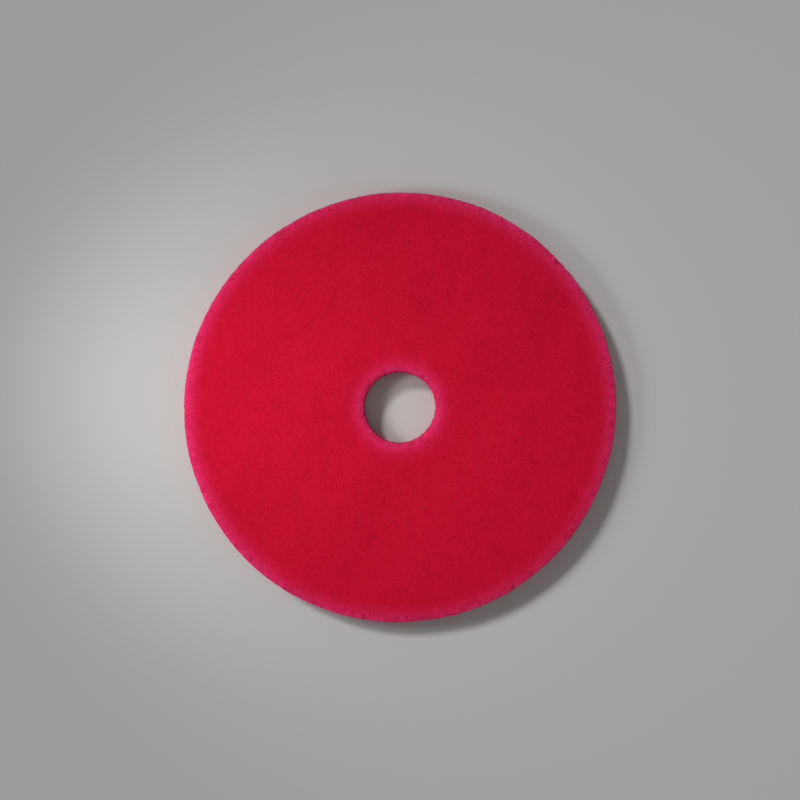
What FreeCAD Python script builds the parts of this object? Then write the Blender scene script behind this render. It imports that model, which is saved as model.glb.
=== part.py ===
"""Round nonwoven floor pad for a rotary floor machine, as a parametric FreeCAD document.

The pad is a disc die-cut from bonded fibre web, with a centre hole that fits round the centring boss of a
pad driver. It has three layers, bonded face to face:

    lower_working_face   fibre soaked with resin and mild abrasive, resting on the floor
    core_web             open, springy fibre that the binder holds
    upper_working_face   the same as the lower face, because the pad is turned over and used on both sides

The rule of the cutting die pinches the web as it goes through. So each face rolls off in a shoulder at the
rim and at the hole, and the cut wall of the softer core springs back hollow at the rim.

Units are millimetres. The axis of the pad is Z, and the origin is the middle of its underside.
"""

import FreeCAD
import Part
import Sketcher
import os

# Driving dimensions: alias, value, meaning.
DIMENSIONS = [
    ("pad_diameter", 508.0, "outside diameter, the nominal 20 inch size"),
    ("hole_diameter", 85.0, "centre hole, which fits round the driver's centring boss"),
    ("pad_thickness", 25.0, "overall thickness, both working faces included"),
    ("face_depth", 4.0, "how deep the resin coat reaches into the web from each side"),
    ("rim_shoulder_width", 12.0, "how far the shoulder reaches in from the rim"),
    ("rim_shoulder_drop", 1.6, "how far the face rolls down at the rim"),
    ("hole_shoulder_width", 8.0, "how far the shoulder reaches out from the hole"),
    ("hole_shoulder_drop", 2.0, "how far the face rolls down at the hole"),
    ("wall_hollow", 1.0, "how far the core's rim wall springs back between the faces"),
]

# Sketcher's numbers for the points of a curve, and for the origin of a sketch.
START, END, CENTRE = 1, 2, 3
ORIGIN = (-1, 1)

doc = FreeCAD.newDocument("FloorPad")


def make_sheet():
    """The spreadsheet of driving dimensions, one row each: alias, value, meaning."""
    sheet = doc.addObject("Spreadsheet::Sheet", "Sizes")
    for row, (alias, value, meaning) in enumerate(DIMENSIONS, start=1):
        sheet.set(f"A{row}", alias)
        sheet.set(f"B{row}", str(value))
        sheet.set(f"C{row}", meaning)
        sheet.setAlias(f"B{row}", alias)
    doc.recompute()
    return sheet


def origin_feature(body, role):
    """One of the body's own origin planes or axes, such as XZ_Plane."""
    return next(feature for feature in body.Origin.OriginFeatures if feature.Role == role)


def new_body(label):
    """A body with an empty sketch on its XZ plane, where X is the radius and Y is the height."""
    body = doc.addObject("PartDesign::Body", label)
    body.Label = label
    sketch = body.newObject("Sketcher::SketchObject", label + "_section")
    sketch.AttachmentSupport = [(origin_feature(body, "XZ_Plane"), "")]
    sketch.MapMode = "FlatFace"
    return body, sketch


def line(sketch, start, end):
    """Adds a line between two (radius, height) points and returns its number."""
    return sketch.addGeometry(Part.LineSegment(FreeCAD.Vector(*start), FreeCAD.Vector(*end)), False)


def arc(sketch, start, middle, end):
    """Adds an arc through three (radius, height) points and returns its number."""
    return sketch.addGeometry(Part.Arc(*(FreeCAD.Vector(*point) for point in (start, middle, end))), False)


def shoulder(sketch, edge, flat):
    """Adds the arc from the edge of a cut up to the start of the flat face, where it is level."""
    width, drop = flat[0] - edge[0], flat[1] - edge[1]
    radius = (width**2 + drop**2) / (2 * drop)
    half_drop = radius - (radius**2 - width**2 / 4) ** 0.5
    return arc(sketch, edge, (edge[0] + width / 2, flat[1] - half_drop), flat)


def end_at(sketch, curve, point):
    """Which end of the curve lies at the point. Sketcher turns an arc that was drawn clockwise round."""
    spot = FreeCAD.Vector(*point)
    near_start = sketch.getPoint(curve, START).distanceToPoint(spot)
    return START if near_start < sketch.getPoint(curve, END).distanceToPoint(spot) else END


def join(sketch, corners):
    """Makes each pair of curves meet at the point given with them."""
    for first, second, point in corners:
        sketch.addConstraint(Sketcher.Constraint(
            "Coincident", first, end_at(sketch, first, point), second, end_at(sketch, second, point)
        ))


def straighten(sketch, horizontal, vertical):
    """Keeps these lines level and those upright."""
    for curve in horizontal:
        sketch.addConstraint(Sketcher.Constraint("Horizontal", curve))
    for curve in vertical:
        sketch.addConstraint(Sketcher.Constraint("Vertical", curve))


def bind(sketch, kind, references, value, expression):
    """Adds a constraint whose size follows an expression on the spreadsheet."""
    number = sketch.addConstraint(Sketcher.Constraint(kind, *references, value))
    sketch.setExpression(f"Constraints[{number}]", expression)


def bind_point(sketch, curve, end, radius=None, height=None):
    """Binds the radius or the height of a curve's end, or both, to expressions."""
    at = sketch.getPoint(curve, end)
    if radius is not None:
        bind(sketch, "DistanceX", (*ORIGIN, curve, end), at.x, radius)
    if height is not None:
        bind(sketch, "DistanceY", (*ORIGIN, curve, end), at.y, height)


def revolve(body, sketch):
    """Turns the section a full turn about the body's Z axis."""
    revolution = body.newObject("PartDesign::Revolution", body.Label + "_turned")
    revolution.Profile = sketch
    revolution.ReferenceAxis = (origin_feature(body, "Z_Axis"), [""])
    revolution.Angle = 360.0
    body.Tip = revolution
    doc.recompute()


def working_face(label, bonded_height, turned_over):
    """A coated face layer, drawn on its bonded side, then set at that side's height in the pad.

    Its section runs up the hole's wall, over the hole's shoulder, along the flat working face, down the
    rim's shoulder, down the rim and back along the bonded side.
    """
    body, sketch = new_body(label)
    hole, rim, top = sheet.hole_diameter / 2, sheet.pad_diameter / 2, sheet.face_depth
    hole_foot, rim_foot = (hole, 0), (rim, 0)
    hole_edge = (hole, top - sheet.hole_shoulder_drop)
    rim_edge = (rim, top - sheet.rim_shoulder_drop)
    flat_start = (hole + sheet.hole_shoulder_width, top)
    flat_end = (rim - sheet.rim_shoulder_width, top)

    hole_wall = line(sketch, hole_foot, hole_edge)
    hole_shoulder = shoulder(sketch, hole_edge, flat_start)
    flat = line(sketch, flat_start, flat_end)
    rim_shoulder = shoulder(sketch, rim_edge, flat_end)
    rim_wall = line(sketch, rim_edge, rim_foot)
    bonded = line(sketch, rim_foot, hole_foot)

    join(sketch, [
        (hole_wall, hole_shoulder, hole_edge),
        (hole_shoulder, flat, flat_start),
        (flat, rim_shoulder, flat_end),
        (rim_shoulder, rim_wall, rim_edge),
        (rim_wall, bonded, rim_foot),
        (bonded, hole_wall, hole_foot),
    ])
    straighten(sketch, horizontal=(flat, bonded), vertical=(hole_wall, rim_wall))
    # A shoulder's centre stands straight below the end of the flat face, which makes the two meet level.
    for curve, point in ((hole_shoulder, flat_start), (rim_shoulder, flat_end)):
        sketch.addConstraint(Sketcher.Constraint(
            "Vertical", curve, CENTRE, curve, end_at(sketch, curve, point)
        ))

    bind_point(sketch, bonded, START, "Sizes.pad_diameter / 2")
    bind_point(sketch, bonded, END, "Sizes.hole_diameter / 2")
    sketch.addConstraint(Sketcher.Constraint("PointOnObject", bonded, START, -1))
    bind_point(sketch, flat, START, "Sizes.hole_diameter / 2 + Sizes.hole_shoulder_width", "Sizes.face_depth")
    bind_point(sketch, flat, END, "Sizes.pad_diameter / 2 - Sizes.rim_shoulder_width")
    bind_point(sketch, hole_wall, END, height="Sizes.face_depth - Sizes.hole_shoulder_drop")
    bind_point(sketch, rim_wall, START, height="Sizes.face_depth - Sizes.rim_shoulder_drop")

    revolve(body, sketch)
    if turned_over:
        body.Placement.Rotation = FreeCAD.Rotation(FreeCAD.Vector(1, 0, 0), 180)
    body.setExpression("Placement.Base.z", bonded_height)
    doc.recompute()
    return body


def core_web():
    """The springy middle layer, from one bonded side to the other, with a hollow rim wall."""
    body, sketch = new_body("core_web")
    hole, rim = sheet.hole_diameter / 2, sheet.pad_diameter / 2
    depth = sheet.pad_thickness - 2 * sheet.face_depth
    hole_foot, hole_top = (hole, 0), (hole, depth)
    rim_foot, rim_top = (rim, 0), (rim, depth)

    hole_wall = line(sketch, hole_foot, hole_top)
    upper = line(sketch, hole_top, rim_top)
    rim_wall = arc(sketch, rim_top, (rim - sheet.wall_hollow, depth / 2), rim_foot)
    lower = line(sketch, rim_foot, hole_foot)

    join(sketch, [
        (hole_wall, upper, hole_top),
        (upper, rim_wall, rim_top),
        (rim_wall, lower, rim_foot),
        (lower, hole_wall, hole_foot),
    ])
    straighten(sketch, horizontal=(upper, lower), vertical=(hole_wall,))

    bind_point(sketch, lower, START, "Sizes.pad_diameter / 2")
    bind_point(sketch, lower, END, "Sizes.hole_diameter / 2")
    sketch.addConstraint(Sketcher.Constraint("PointOnObject", lower, START, -1))
    bind_point(sketch, upper, END, "Sizes.pad_diameter / 2", "Sizes.pad_thickness - 2 * Sizes.face_depth")
    # The radius of an arc that is wall_hollow deep over the depth of the core.
    bind(
        sketch, "Radius", (rim_wall,), (depth**2 / 4 + sheet.wall_hollow**2) / (2 * sheet.wall_hollow),
        "((Sizes.pad_thickness / 2 - Sizes.face_depth) ^ 2 + Sizes.wall_hollow ^ 2) / (2 * Sizes.wall_hollow)",
    )

    revolve(body, sketch)
    body.setExpression("Placement.Base.z", "Sizes.face_depth")
    doc.recompute()
    return body


def check(subparts):
    """Stops the build if an object failed to recompute or a sub-part isn't one closed, valid solid."""
    for thing in doc.Objects:
        if "Invalid" in thing.State or "Error" in thing.State:
            raise RuntimeError(f"{thing.Label} failed to recompute: {thing.State}")
        if thing.TypeId == "Sketcher::SketchObject" and (thing.solve() != 0 or not thing.FullyConstrained):
            raise RuntimeError(f"{thing.Label} isn't solved and fully constrained")
    for body in subparts:
        shape = body.Shape
        if shape.isNull() or not shape.isValid() or len(shape.Solids) != 1 or shape.Volume <= 0:
            raise RuntimeError(f"{body.Label} isn't one closed, valid solid")


sheet = make_sheet()
subparts = [
    working_face("lower_working_face", "Sizes.face_depth", turned_over=True),
    core_web(),
    working_face("upper_working_face", "Sizes.pad_thickness - Sizes.face_depth", turned_over=False),
]
check(subparts)

os.makedirs("parts", exist_ok=True)
for body in subparts:
    body.Shape.exportStep(f"parts/{body.Label}.step")
    box = body.Shape.optimalBoundingBox()
    print(
        f"{body.Label}: {box.XLength:.1f} x {box.YLength:.1f} x {box.ZLength:.1f} mm, "
        f"z {box.ZMin:.2f} to {box.ZMax:.2f}, {body.Shape.Volume / 1000:.1f} cm3"
    )
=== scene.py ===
import math

import bmesh
import bpy
import numpy as np
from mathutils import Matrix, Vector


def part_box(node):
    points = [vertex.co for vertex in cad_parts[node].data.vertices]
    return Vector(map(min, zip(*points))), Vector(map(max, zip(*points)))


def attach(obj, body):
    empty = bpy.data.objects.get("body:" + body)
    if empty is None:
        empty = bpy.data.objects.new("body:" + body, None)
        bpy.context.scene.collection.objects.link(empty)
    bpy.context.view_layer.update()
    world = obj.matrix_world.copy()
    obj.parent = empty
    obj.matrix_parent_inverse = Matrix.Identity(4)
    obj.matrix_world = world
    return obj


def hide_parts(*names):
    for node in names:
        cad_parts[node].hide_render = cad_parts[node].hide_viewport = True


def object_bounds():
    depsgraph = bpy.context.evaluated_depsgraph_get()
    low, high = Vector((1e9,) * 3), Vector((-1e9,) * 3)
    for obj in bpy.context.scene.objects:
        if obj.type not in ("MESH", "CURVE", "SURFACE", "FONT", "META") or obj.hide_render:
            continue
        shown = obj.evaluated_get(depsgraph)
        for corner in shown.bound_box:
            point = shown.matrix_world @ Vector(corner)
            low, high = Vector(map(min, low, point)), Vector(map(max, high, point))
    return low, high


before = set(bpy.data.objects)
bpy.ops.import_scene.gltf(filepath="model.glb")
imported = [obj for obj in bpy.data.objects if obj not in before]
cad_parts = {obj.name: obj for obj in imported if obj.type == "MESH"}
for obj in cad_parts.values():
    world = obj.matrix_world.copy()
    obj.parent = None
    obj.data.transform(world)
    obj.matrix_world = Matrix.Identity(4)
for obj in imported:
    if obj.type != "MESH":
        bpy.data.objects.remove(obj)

# ---- The studio ------------------------------------------------------------------------------------------
# The pad lies flat on a plain pale floor. The key light comes in low from beyond its far left side, with a
# faint fill from across it and a small soft lamp close by on the left. The camera hangs straight above.

cad_low, cad_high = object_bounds()
pad_radius = (cad_high.x - cad_low.x) / 2
pad_top = cad_high.z

floor_radius = 40.0
floor_colour = (0.55, 0.55, 0.54, 1)
daylight_strength = 0.22

camera_lens = 50.0
camera_sensor = 36.0
view_to_pad = 1.855
camera_north = 0.0086


def add_node(tree, kind, inputs=None, **settings):
    """Adds a shader node with its settings. An input that is a socket is linked, and any other is a value."""
    node = tree.nodes.new("ShaderNode" + kind)
    for name, value in settings.items():
        setattr(node, name, value)
    for name, value in (inputs or {}).items():
        if isinstance(value, bpy.types.NodeSocket):
            tree.links.new(value, node.inputs[name])
        else:
            node.inputs[name].default_value = value
    return node


def new_material(name, **values):
    """A material, its node tree and its shader, with plain values set on the shader's own sockets."""
    material = bpy.data.materials.new(name)
    material.use_nodes = True
    shader = material.node_tree.nodes["Principled BSDF"]
    for socket, value in values.items():
        shader.inputs[socket.replace("_", " ")].default_value = value
    return material, material.node_tree, shader


def add_lamp(name, kind, bearing, height, distance, **settings):
    """A lamp that shines at the pad, from its bearing from +X and its height above the floor in degrees."""
    bearing, height = math.radians(bearing), math.radians(height)
    level = distance * math.cos(height)
    place = (level * math.cos(bearing), level * math.sin(bearing), distance * math.sin(height))
    towards_pad = (math.pi / 2 - height, 0, bearing + math.pi / 2)
    bpy.ops.object.light_add(type=kind, location=place, rotation=towards_pad)
    lamp = bpy.context.object
    lamp.name = name
    lamp.visible_camera = False
    for setting, value in settings.items():
        setattr(lamp.data, setting, value)


bpy.ops.object.select_all(action="DESELECT")
bpy.ops.mesh.primitive_circle_add(vertices=128, radius=floor_radius, fill_type="NGON")
studio_floor = bpy.context.object
studio_floor.name = "studio_floor"
floor_material, _, _ = new_material(
    "pale_floor", Base_Color=floor_colour, Roughness=0.9, Specular_IOR_Level=0.1
)
studio_floor.data.materials.append(floor_material)

add_lamp(
    "key_lamp", "SUN", bearing=137, height=37, distance=2.0,
    angle=math.radians(10), energy=1.78,
)
add_lamp(
    "fill_lamp", "SUN", bearing=315, height=14, distance=2.0,
    angle=math.radians(60), energy=0.39,
)
add_lamp(
    "side_lamp", "AREA", bearing=176, height=38, distance=0.76,
    shape="DISK", size=0.25, spread=math.radians(75), energy=0.465,
)

world = bpy.data.worlds.new("studio_daylight")
world.use_nodes = True
world.node_tree.nodes["Background"].inputs["Color"].default_value = (1, 1, 1, 1)
world.node_tree.nodes["Background"].inputs["Strength"].default_value = daylight_strength
bpy.context.scene.world = world
bpy.context.scene.view_settings.view_transform = "Standard"

view_width = view_to_pad * 2 * pad_radius
camera_height = pad_top + view_width / 2 * camera_lens / (camera_sensor / 2)
bpy.ops.object.camera_add(location=(0, camera_north, camera_height), rotation=(0, 0, 0))
bpy.context.object.data.lens = camera_lens
bpy.context.object.data.sensor_width = camera_sensor
bpy.context.scene.camera = bpy.context.object


# ---- The core web ----------------------------------------------------------------------------------------
# The middle of the pad is an open, springy web of crimped polyester fibre, laid down in thin level plies and
# set with a sprayed binder. Its cut wall springs back a little between the two stiffer faces.

core_corners = [vertex.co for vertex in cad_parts["core_web"].data.vertices]
hole_radius = min(math.hypot(corner.x, corner.y) for corner in core_corners)
core_low, core_high = (corner.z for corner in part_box("core_web"))

wall_hollow = 0.001
core_steps = 960
core_cuts = (3, 3, 17)

# The lumps of the cut walls, as (width, height), and how deep into the pad from each wall they reach.
core_lumps = [(0.006, 0.0006), (0.0018, 0.0005)]
rim_lump_depth, hole_lump_depth = 0.004, 0.002

# How far the matted web lies under the loose fibres that make its skin.
fibre_bed = 0.0003

# The pad as it was cut: a little out of round, with a wavering edge, and not quite flat.
out_of_round = 0.0013
longest_way = math.radians(28)
edge_waver = 0.00018
edge_band = 0.012
top_waver = 0.0005

# The waves along each edge, as (number round the pad, share of edge_waver, start).
rim_waves = [(5, 1.0, 0.7), (11, 0.8, 2.1), (23, 0.7, 0.0), (47, 0.3, 1.3), (89, 0.15, 0.4)]
hole_waves = [(3, 1.0, 0.5), (7, 0.6, 2.6), (19, 0.3, 0.0)]

# The core mat's colours are darker than those of the wall fibres that lie over it: painted shade in the gaps
# between the fibres. The pale one is also partly a paler dye at the cut and partly painted sheen.
shaded_core_deep = (0.44, 0.0045, 0.028, 1)
shaded_core_full = (0.56, 0.0085, 0.044, 1)
shaded_core_pale_and_sheen = (0.73, 0.0300, 0.135, 1)

# How far in from a cut the colour begins to turn pale: partly a paler dye at the cut, partly painted sheen,
# the light that shines through the loose fibres at the edge.
pale_and_sheen_band = 0.030

# The colour of the sheen on the fibre, and how many ridges a mat of it has in a metre, across and along.
sheen_tint = (1, 0.12, 0.35, 1)
ridges_across, ridges_along = 1500.0, 130.0

# Places nearer to each other than this count as one.
same_place = 1e-6


def wavering(bearing, waves):
    """The sum of some waves at this bearing."""
    return sum(share * np.sin(number * bearing + start) for number, share, start in waves)


def as_cut(places):
    """Moves places on a true pad to where they are on this one, as it was cut and as it lies."""
    x, y, z = places[..., 0], places[..., 1], places[..., 2]
    radius, bearing = np.hypot(x, y), np.arctan2(y, x)
    rim_nearness = np.clip((radius - pad_radius + edge_band) / edge_band, 0, 1)
    hole_nearness = np.clip((hole_radius + edge_band - radius) / edge_band, 0, 1)
    moved = radius / pad_radius * out_of_round * np.cos(2 * (bearing - longest_way))
    moved += edge_waver * rim_nearness**2 * wavering(bearing, rim_waves)
    moved += edge_waver * hole_nearness**2 * wavering(bearing, hole_waves)
    swell = np.sin(23 * x + 1.1) * np.cos(19 * y - 0.4) + 0.6 * np.sin(43 * x - 37 * y)
    stretch = 1 + moved / radius
    return np.stack([x * stretch, y * stretch, z + top_waver * swell * z / pad_top], axis=-1)


def select_only(mesh, kind, wanted):
    """In edit mode, selects just the vertices or the edges for which wanted is true."""
    bpy.ops.mesh.select_all(action="DESELECT")
    bpy.ops.mesh.select_mode(type={"verts": "VERT", "edges": "EDGE"}[kind])
    shape = bmesh.from_edit_mesh(mesh)
    for element in getattr(shape, kind):
        element.select_set(wanted(element))
    bmesh.update_edit_mesh(mesh)


def level_at(height):
    """A test for edges that lie level at this height."""
    return lambda edge: all(abs(vertex.co.z - height) < same_place for vertex in edge.verts)


def standing(edge):
    """True for an edge of a section that stands upright."""
    return abs(edge.verts[0].co.x - edge.verts[1].co.x) < same_place


def turned_layer(name, section, steps, cuts, rounded=None, rounding=0.0):
    """A closed ring of web, made as a standing section that is cut up finely and turned about the pad's axis.

    section is its inner and outer radius and its two heights, and cuts says how finely its lower side, its
    upper side and its two walls are divided. rounded is the height of the side with rounded corners, if any.
    """
    inner, outer, low, high = section
    bpy.ops.object.select_all(action="DESELECT")
    middle = ((inner + outer) / 2, 0, (low + high) / 2)
    bpy.ops.mesh.primitive_plane_add(size=1, location=middle, rotation=(math.pi / 2, 0, 0))
    layer = bpy.context.object
    layer.name = layer.data.name = name
    layer.scale = (outer - inner, high - low, 1)
    bpy.ops.object.transform_apply()
    bpy.ops.object.mode_set(mode="EDIT")
    if rounded is not None:
        select_only(layer.data, "verts", lambda vertex: abs(vertex.co.z - rounded) < same_place)
        bpy.ops.mesh.bevel(offset=rounding, segments=4, affect="VERTICES")
    bpy.ops.mesh.select_all(action="SELECT")
    bpy.ops.mesh.delete(type="ONLY_FACE")
    for wanted, number in zip((level_at(low), level_at(high), standing), cuts):
        select_only(layer.data, "edges", wanted)
        bpy.ops.mesh.subdivide(number_cuts=number)
    bpy.ops.object.mode_set(mode="OBJECT")
    bpy.ops.object.modifier_add(type="SCREW")
    turn = layer.modifiers[-1]
    turn.steps = turn.render_steps = steps
    turn.use_merge_vertices = True
    turn.merge_threshold = same_place
    bpy.ops.object.modifier_apply(modifier=turn.name)
    bpy.ops.object.mode_set(mode="EDIT")
    bpy.ops.mesh.select_all(action="SELECT")
    bpy.ops.mesh.normals_make_consistent(inside=False)
    bpy.ops.object.mode_set(mode="OBJECT")
    bpy.ops.object.shade_smooth_by_angle(angle=math.radians(50))
    return layer


def reshape(layer, move):
    """Moves each vertex of a layer to where move says, given all their places as an array."""
    places = np.empty(3 * len(layer.data.vertices))
    layer.data.vertices.foreach_get("co", places)
    layer.data.vertices.foreach_set("co", move(places.reshape(-1, 3)).ravel())
    layer.data.update()


def roughen(layer, shown, lumps):
    """Displaces the shown vertices of a layer with soft clouds, once for each (width, height) of lumps."""
    group = layer.vertex_groups.new(name="shown")
    group.add([vertex.index for vertex in layer.data.vertices if shown(vertex.co)], 1, "REPLACE")
    bpy.context.view_layer.objects.active = layer
    for width, height in lumps:
        texture = bpy.data.textures.new(layer.name + "_lumps", "CLOUDS")
        texture.noise_scale = width
        texture.noise_depth = 1
        bpy.ops.object.modifier_add(type="DISPLACE")
        lumpy = layer.modifiers[-1]
        lumpy.texture = texture
        lumpy.texture_coords = "LOCAL"
        lumpy.vertex_group = "shown"
        lumpy.strength = height
        lumpy.mid_level = 0.5
        bpy.ops.object.modifier_apply(modifier=lumpy.name)
    layer.vertex_groups.clear()


def pale_edge_and_painted_sheen(tree, place):
    """Node socket: 0 over most of the pad, rising unevenly to 1 at the rim and at the hole. The pale colour
    it brings in is partly a paler dye at the cuts and partly painted sheen.
    """
    flat = add_node(tree, "VectorMath", {0: place, 1: (1, 1, 0)}, operation="MULTIPLY")
    radius = add_node(tree, "VectorMath", {0: flat.outputs[0]}, operation="LENGTH").outputs["Value"]
    edges = []
    for start, end in ((pad_radius - pale_and_sheen_band, pad_radius), (hole_radius + pale_and_sheen_band, hole_radius)):
        edge = add_node(tree, "MapRange", {"Value": radius, "From Min": start, "From Max": end})
        edges.append(edge.outputs[0])
    near = add_node(tree, "Math", {0: edges[0], 1: edges[1]}, operation="MAXIMUM").outputs[0]
    near = add_node(tree, "Math", {0: near, 1: 3.0}, operation="POWER").outputs[0]
    patches = add_node(tree, "TexNoise", {"Vector": place, "Scale": 120.0, "Detail": 3.0}).outputs["Fac"]
    uneven = add_node(tree, "MapRange", {"Value": patches, "From Min": 0.3, "From Max": 0.7, "To Min": 0.7})
    return add_node(tree, "Math", {0: near, 1: uneven.outputs[0]}, operation="MULTIPLY").outputs[0]


def dyed(tree, place, deep, full, pale):
    """Node socket: the dyed colour at a place, mottled from deep to full, streaked along Y, and pale at the
    cuts, partly as a paler dye and partly as painted sheen.
    """
    along_web = add_node(tree, "Mapping", {"Vector": place, "Scale": (1, 0.16, 1)}).outputs[0]
    clouds = add_node(tree, "TexNoise", {"Vector": place, "Scale": 16.0, "Detail": 4.0}).outputs["Fac"]
    streaks = add_node(tree, "TexNoise", {"Vector": along_web, "Scale": 75.0, "Detail": 3.0}).outputs["Fac"]
    flecks = add_node(tree, "TexNoise", {"Vector": place, "Scale": 420.0, "Detail": 2.0}).outputs["Fac"]
    mixed = add_node(tree, "Math", {0: clouds, 1: streaks}, operation="ADD").outputs[0]
    mixed = add_node(tree, "Math", {0: mixed, 1: flecks}, operation="ADD").outputs[0]
    depth = add_node(tree, "MapRange", {"Value": mixed, "From Min": 1.0, "From Max": 2.0}).outputs[0]
    colour = add_node(tree, "Mix", {0: depth, 6: deep, 7: full}, data_type="RGBA").outputs[2]
    # The pale colour at the cuts is partly a paler dye and partly painted sheen.
    pale_share = pale_edge_and_painted_sheen(tree, place)
    return add_node(tree, "Mix", {0: pale_share, 6: colour, 7: pale}, data_type="RGBA").outputs[2]


def matted_relief(tree, place):
    """Node socket: the height of a mat of fibres, as fine wavering ridges that cross in three directions."""
    height = None
    for turn in (0.3, 1.35, 2.4):
        stretch = {"Rotation": (0, 0, turn), "Scale": (ridges_across, ridges_along, ridges_across)}
        laid = add_node(tree, "Mapping", {"Vector": place, **stretch}).outputs[0]
        grain = {"Scale": 1.0, "Detail": 2.0, "Distortion": 0.6}
        ridges = add_node(tree, "TexNoise", {"Vector": laid, **grain}).outputs["Fac"]
        if height is None:
            height = ridges
        else:
            height = add_node(tree, "Math", {0: height, 1: ridges}, operation="MAXIMUM").outputs[0]
    return height


def web_material(name, deep, full, pale, relief):
    """Matted, dyed fibre: matt, with a faint rosy sheen, and fibre ridges as deep as relief."""
    material, tree, shader = new_material(
        name, Roughness=0.8, Specular_IOR_Level=0.02, Sheen_Weight=0.05, Sheen_Roughness=0.5
    )
    shader.inputs["Sheen Tint"].default_value = sheen_tint
    place = add_node(tree, "TexCoord").outputs["Object"]
    tree.links.new(dyed(tree, place, deep, full, pale), shader.inputs["Base Color"])
    height = matted_relief(tree, place)
    bump = add_node(tree, "Bump", {"Height": height, "Strength": 0.8, "Distance": relief})
    tree.links.new(bump.outputs[0], shader.inputs["Normal"])
    roughness = add_node(tree, "MapRange", {"Value": height, "To Min": 0.92, "To Max": 0.7})
    tree.links.new(roughness.outputs[0], shader.inputs["Roughness"])
    return material


def hollow_at(height):
    """How far the core's rim wall is hollowed at this height, which is most half way up it."""
    share = np.clip((height - core_low) / (core_high - core_low), 0, 1)
    return wall_hollow * 4 * share * (1 - share)


def sprung_back(places):
    """Hollows the core's rim wall."""
    radius = np.hypot(places[:, 0], places[:, 1])
    hollow = hollow_at(places[:, 2]) * (radius > pad_radius - 2 * fibre_bed)
    return places * np.stack([1 - hollow / radius, 1 - hollow / radius, np.ones_like(radius)], axis=1)


core_section = (hole_radius + fibre_bed, pad_radius - fibre_bed, core_low, core_high)
core_web = turned_layer("core_web_plies", core_section, core_steps, core_cuts)
reshape(core_web, lambda places: as_cut(sprung_back(places)))
smooth_from, smooth_to = hole_radius + hole_lump_depth, pad_radius - rim_lump_depth
roughen(core_web, lambda place: not smooth_from < math.hypot(place.x, place.y) < smooth_to, core_lumps)
# The core mat is coloured darker than the wall fibres over it, as painted shade between them.
core_material = web_material("core_fibre_mat", shaded_core_deep, shaded_core_full, shaded_core_pale_and_sheen, 0.0006)
core_web.data.materials.append(core_material)
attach(core_web, "root")
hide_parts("core_web")


# ---- The two working faces -------------------------------------------------------------------------------
# Each side of the web is soaked with red resin and very fine abrasive, which sets into a firm, even mat. The
# cutting die rolled it down into a soft shoulder at the rim and at the hole.

face_steps = 720
face_shown_cuts, face_bonded_cuts, face_wall_cuts = 96, 3, 2
corner_rounding = 0.0008

# The swells of the face, as (width, height), and how far from the bonded side they begin.
face_lumps = [(0.014, 0.00012), (0.004, 0.00005)]
flat_bond = 0.0004

rim_shoulder_width, rim_shoulder_drop = 0.012, 0.0016
hole_shoulder_width, hole_shoulder_drop = 0.008, 0.002

coat_deep = (0.56, 0.0052, 0.029, 1)
coat_full = (0.65, 0.0068, 0.035, 1)
# The colour at the rim and the hole: partly a paler dye at the cut, partly painted sheen.
coat_pale_and_sheen = (0.84, 0.0400, 0.200, 1)


def shoulder_drop(radius):
    """How far the face is below its flat at this radius."""
    at_rim = np.clip((radius - pad_radius + rim_shoulder_width) / rim_shoulder_width, 0, 1)
    at_hole = np.clip((hole_radius + hole_shoulder_width - radius) / hole_shoulder_width, 0, 1)
    return rim_shoulder_drop * at_rim**2 + hole_shoulder_drop * at_hole**2


def working_face(name, node):
    """One working face, whose outer side is the one further from the middle of the pad's thickness."""
    low, high = (corner.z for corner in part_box(node))
    upper = low > pad_top / 2
    outer, bonded = (high - fibre_bed, low) if upper else (low + fibre_bed, high)
    cuts = (face_bonded_cuts, face_shown_cuts) if upper else (face_shown_cuts, face_bonded_cuts)
    section = (hole_radius + fibre_bed, pad_radius - fibre_bed, min(outer, bonded), max(outer, bonded))
    face = turned_layer(name, section, face_steps, (*cuts, face_wall_cuts), outer, corner_rounding)

    def rolled_down(places):
        share = (places[:, 2] - bonded) / (outer - bonded)
        drop = share * shoulder_drop(np.hypot(places[:, 0], places[:, 1]))
        lowered = places.copy()
        lowered[:, 2] -= np.sign(outer - bonded) * drop
        return as_cut(lowered)

    reshape(face, rolled_down)
    roughen(face, lambda place: abs(place.z - bonded) > flat_bond, face_lumps)
    face.data.materials.append(face_material)
    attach(face, "root")
    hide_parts(node)


face_material = web_material("coated_fibre_mat", coat_deep, coat_full, coat_pale_and_sheen, 0.0005)
working_face("upper_face_mat", "upper_working_face")
working_face("lower_face_mat", "lower_working_face")


# ---- The fibres of the faces -----------------------------------------------------------------------------
# Over each mat lie single crimped staple fibres, at all angles, held where they cross by specks of resin. The
# web is laid down in plies, so the fibres are made ply by ply.

fibres_in_ply = 4000
upper_plies, lower_plies = 4, 2

fibre_length = 0.024
shortest_share = 0.4
fibre_thickness = 0.00028
thickness_shares = (0.7, 1.3)
fibre_points = 10
tip_share = 0.02

# The spread of the fibres' curves, as one over a radius, and how high and how long their crimp's waves are.
fibre_bend = 45.0
crimp_heights = (0.0003, 0.0008)
crimp_waves = (0.005, 0.009)

# How often a fibre comes up, how high its crests stand and how deep its ends go under, as shares of its bed.
fewest_laps, most_laps = 2, 3
crest_shares = (0.35, 0.95)
sunk_share = 0.4

# How many places along a fibre are tried for where it leaves the sheet.
tried_places = 41

# How much of a strand's cell on the map is left free at each side.
cell_margin = 0.1


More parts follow.
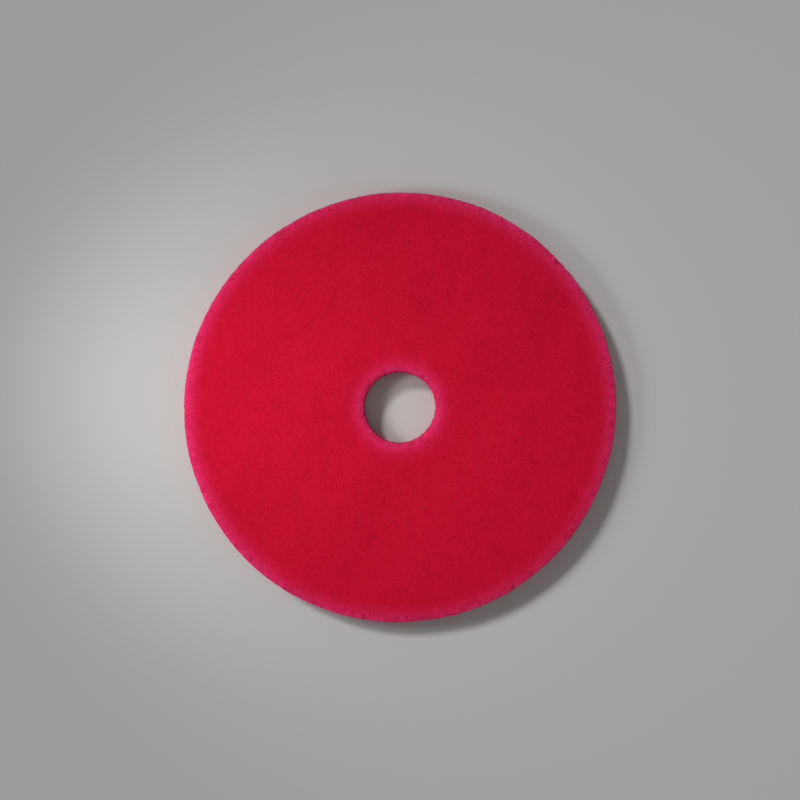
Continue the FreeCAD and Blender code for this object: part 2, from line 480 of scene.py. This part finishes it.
def crimped(random, starts, headings, inside):
    """Paths of crimped fibres on a flat sheet, through these starts, cut off where inside says they leave it.

    Returns their places, fibres x points x 2, and how far along its fibre each point is, from 0 to 1.
    """
    count = len(starts)
    length = random.uniform(shortest_share, 1.0, (count, 1)) * fibre_length
    bend = random.normal(0, fibre_bend, (count, 1))
    crimp = random.uniform(*crimp_heights, (count, 1))
    wave = random.uniform(*crimp_waves, (count, 1))
    phase = random.uniform(0, 2 * np.pi, (count, 1))
    ahead = np.stack([np.cos(headings), np.sin(headings)], axis=-1)[:, None]
    aside = np.stack([-np.sin(headings), np.cos(headings)], axis=-1)[:, None]

    def places(along):
        off = bend * along**2 / 2 + crimp * np.sin(2 * np.pi * along / wave + phase)
        return starts[:, None] + ahead * along[..., None] + aside * off[..., None]

    tried = np.linspace(-0.5, 0.5, tried_places) * length
    outside = ~inside(places(tried))
    first = np.where(outside & (tried < 0), tried, tried[:, :1]).max(axis=1, keepdims=True)
    last = np.where(outside & (tried > 0), tried, tried[:, -1:]).min(axis=1, keepdims=True)
    share = np.concatenate([[0], np.linspace(tip_share, 1 - tip_share, fibre_points - 2), [1]])
    return places(first + (last - first) * share), np.broadcast_to(share, (count, fibre_points))


def rise(random, share):
    """How high each point of a fibre stands in its bed. It comes up a few times, and its ends go under."""
    count = len(share)
    laps = random.integers(fewest_laps, most_laps + 1, (count, 1))
    crest = random.uniform(*crest_shares, (count, 1)) * fibre_bed
    return crest * np.sin(np.pi * laps * share) ** 2 - sunk_share * fibre_bed


def strand_faces(points):
    """The faces of a three-sided strand with pointed ends, as (vertex, way round, way along) corners."""
    last = points - 3

    def corner(ring, side):
        return 1 + 3 * ring + side % 3, side / 3, (ring + 1) / (points - 1)

    faces = []
    for side in range(3):
        faces.append([(0, (side + 0.5) / 3, 0), corner(0, side + 1), corner(0, side)])
        for ring in range(last):
            following = [corner(ring + 1, side + 1), corner(ring + 1, side)]
            faces.append([corner(ring, side), corner(ring, side + 1), *following])
        faces.append([corner(last, side), corner(last, side + 1), (4 + 3 * last, (side + 0.5) / 3, 1)])
    return faces


def strands(name, paths, random):
    """A piece made of one closed strand along each path, each with its own shade and its own map cell."""
    count, points, _ = paths.shape
    along = np.gradient(paths, axis=1)
    along /= np.linalg.norm(along, axis=2, keepdims=True)
    side = np.cross(along, (0, 0, 1))
    side /= np.linalg.norm(side, axis=2, keepdims=True)
    over = np.cross(along, side)
    thick = fibre_thickness * random.uniform(*thickness_shares, (count, 1, 1)) / 2
    turns = 2 * np.pi / 3 * np.arange(3)
    rings = [paths + thick * (np.cos(turn) * side + np.sin(turn) * over) for turn in turns]
    rings = np.stack(rings, axis=2)[:, 1:-1].reshape(count, -1, 3)
    places = np.concatenate([paths[:, :1], rings, paths[:, -1:]], axis=1)

    template = strand_faces(points)
    size = places.shape[1]
    firsts = range(0, count * size, size)
    faces = [[first + corner[0] for corner in face] for first in firsts for face in template]
    mesh = bpy.data.meshes.new(name)
    mesh.from_pydata(places.reshape(-1, 3).tolist(), [], faces)
    shade = mesh.attributes.new("shade", "FLOAT", "POINT")
    shade.data.foreach_set("value", np.repeat(random.uniform(0, 1, count), size))

    across = math.ceil(math.sqrt(count))
    cell = np.stack([np.arange(count) % across, np.arange(count) // across], axis=-1)[:, None]
    in_cell = np.array([corner[1:] for face in template for corner in face])
    in_cell = in_cell * (1 - 2 * cell_margin) + cell_margin
    mesh.uv_layers.new(name="OFBake").data.foreach_set("uv", ((cell + in_cell) / across).ravel())

    piece = bpy.data.objects.new(name, mesh)
    bpy.context.scene.collection.objects.link(piece)
    mesh.polygons.foreach_set("use_smooth", [True] * len(mesh.polygons))
    return piece


def strand_material(name, deep, full, pale):
    """Dyed polyester fibre under a thin coat. Each strand has its own shade, and specks of resin glint."""
    material, tree, shader = new_material(
        name, Roughness=0.6, Specular_IOR_Level=0.03, Sheen_Weight=0.05, Sheen_Roughness=0.5
    )
    shader.inputs["Sheen Tint"].default_value = sheen_tint
    place = add_node(tree, "TexCoord").outputs["Object"]
    shade = add_node(tree, "Attribute", attribute_name="shade").outputs["Fac"]
    dyed_colour = add_node(tree, "Mix", {0: shade, 6: deep, 7: full}, data_type="RGBA").outputs[2]
    takes = add_node(tree, "MapRange", {"Value": shade, "To Min": 0.4}).outputs[0]
    # Towards the rim and the hole the strands turn pale: partly a paler dye at the cut, partly painted sheen.
    near = pale_edge_and_painted_sheen(tree, place)
    pale_share = add_node(tree, "Math", {0: near, 1: takes}, operation="MULTIPLY").outputs[0]
    colour = add_node(tree, "Mix", {0: pale_share, 6: dyed_colour, 7: pale}, data_type="RGBA").outputs[2]
    tree.links.new(colour, shader.inputs["Base Color"])
    specks = add_node(tree, "TexNoise", {"Vector": place, "Scale": 900.0, "Detail": 1.0}).outputs["Fac"]
    roughness = add_node(tree, "MapRange", {"Value": specks, "From Min": 0.4, "From Max": 0.6, "To Min": 0.8})
    roughness.inputs["To Max"].default_value = 0.5
    tree.links.new(roughness.outputs[0], shader.inputs["Roughness"])
    return material


def on_pad(places):
    """True where a place on the flat is between the hole and the rim."""
    radius = np.hypot(places[..., 0], places[..., 1])
    return (radius > hole_radius) & (radius < pad_radius)


def face_ply(name, seed, upper):
    """The fibres of one ply on the upper or the lower face."""
    random = np.random.default_rng(seed)
    radius = np.sqrt(random.uniform(hole_radius**2, pad_radius**2, fibres_in_ply))
    bearing = random.uniform(0, 2 * np.pi, fibres_in_ply)
    starts = np.stack([radius * np.cos(bearing), radius * np.sin(bearing)], axis=-1)
    flat, share = crimped(random, starts, random.uniform(0, np.pi, fibres_in_ply), on_pad)
    depth = fibre_bed + shoulder_drop(np.hypot(flat[..., 0], flat[..., 1])) - rise(random, share)
    height = pad_top - depth if upper else depth
    ply = strands(name, as_cut(np.concatenate([flat, height[..., None]], axis=-1)), random)
    ply.data.materials.append(face_fibre_material)
    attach(ply, "root")


face_fibre_material = strand_material("coated_fibre", coat_deep, coat_full, coat_pale_and_sheen)
for number in range(1, upper_plies + 1):
    face_ply(f"upper_face_ply_{number}", 100 + number, upper=True)
for number in range(1, lower_plies + 1):
    face_ply(f"lower_face_ply_{number}", 200 + number, upper=False)


# ---- The fibres of the cut walls -------------------------------------------------------------------------
# The die leaves two walls, at the rim and in the hole. Their fibres lie mostly level, ply on ply, and cut
# ends stand out between them as a short fuzz.

rim_fibres, rim_ends = 4000, 9000
hole_fibres, hole_ends = 900, 1600

# The spread of the fibres' tilt away from level.
wall_tilt = 0.35

# How deep a cut end is rooted in the wall, how much longer the longest are than the shortest, the spread of
# their lean for their length, and how far from the pad's two sides they start.
cut_end_root = 0.0012
cut_end_reach = 0.0018
cut_end_lean = 0.7
cut_end_margin = 0.0015
cut_end_points = 5
cut_end_tip_share = 0.05

wall_deep = (0.50, 0.0060, 0.034, 1)
wall_full = (0.68, 0.0140, 0.065, 1)
# The colour of the wall fibres near the cuts: partly a paler dye, partly painted sheen.
wall_pale_and_sheen = (0.84, 0.0400, 0.155, 1)


def wall_skin(height, at_rim):
    """The radius of a wall at this height, where the shoulders above and below cut it back."""
    if at_rim:
        width, drop = rim_shoulder_width, rim_shoulder_drop
    else:
        width, drop = hole_shoulder_width, hole_shoulder_drop
    nearest = np.minimum(height, pad_top - height)
    cut_back = width * (1 - np.sqrt(np.clip(nearest / drop, 0, 1)))
    return pad_radius - cut_back - hollow_at(height) if at_rim else hole_radius + cut_back


def in_space(around, height, outward, at_rim):
    """Places from the way round a wall, the height on it, and how far they stand out from its skin."""
    wall_radius = pad_radius if at_rim else hole_radius
    radius = wall_skin(height, at_rim) + (outward if at_rim else -outward)
    bearing = around / wall_radius
    return as_cut(np.stack([radius * np.cos(bearing), radius * np.sin(bearing), height], axis=-1))


def wall_piece(name, paths, random):
    """A piece of core fibres along these paths."""
    piece = strands(name, paths, random)
    piece.data.materials.append(core_fibre_material)
    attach(piece, "root")


def wall_fibres(name, seed, count, at_rim):
    """Fibres that lie along a wall."""
    random = np.random.default_rng(seed)
    wall_length = 2 * np.pi * (pad_radius if at_rim else hole_radius)
    starts = np.stack([random.uniform(0, wall_length, count), random.uniform(0, pad_top, count)], axis=-1)

    def on_wall(places):
        return (places[..., 1] > fibre_bed) & (places[..., 1] < pad_top - fibre_bed)

    flat, share = crimped(random, starts, random.normal(0, wall_tilt, count), on_wall)
    outward = rise(random, share)
    height = np.clip(flat[..., 1], fibre_bed, pad_top - fibre_bed)
    wall_piece(name, in_space(flat[..., 0], height, outward, at_rim), random)


def cut_ends(name, seed, count, at_rim):
    """The ends of cut fibres, which lean out of a wall at all angles."""
    random = np.random.default_rng(seed)
    wall_length = 2 * np.pi * (pad_radius if at_rim else hole_radius)
    inner_points = np.linspace(cut_end_tip_share, 1 - cut_end_tip_share, cut_end_points - 2)
    share = np.concatenate([[0], inner_points, [1]])
    reach = cut_end_root + cut_end_reach * random.uniform(0, 1, (count, 1)) ** 2
    sideways, upwards = random.normal(0, cut_end_lean, (2, count, 1)) * reach * share**1.5
    around = random.uniform(0, wall_length, (count, 1)) + sideways
    height = random.uniform(cut_end_margin, pad_top - cut_end_margin, (count, 1)) + upwards
    height = np.clip(height, fibre_bed, pad_top - fibre_bed)
    outward = reach * share - cut_end_root
    wall_piece(name, in_space(around, height, outward, at_rim), random)


core_fibre_material = strand_material("core_fibre", wall_deep, wall_full, wall_pale_and_sheen)
wall_fibres("rim_fibres", 301, rim_fibres, at_rim=True)
cut_ends("rim_cut_ends", 302, rim_ends, at_rim=True)
wall_fibres("hole_fibres", 303, hole_fibres, at_rim=False)
cut_ends("hole_cut_ends", 304, hole_ends, at_rim=False)
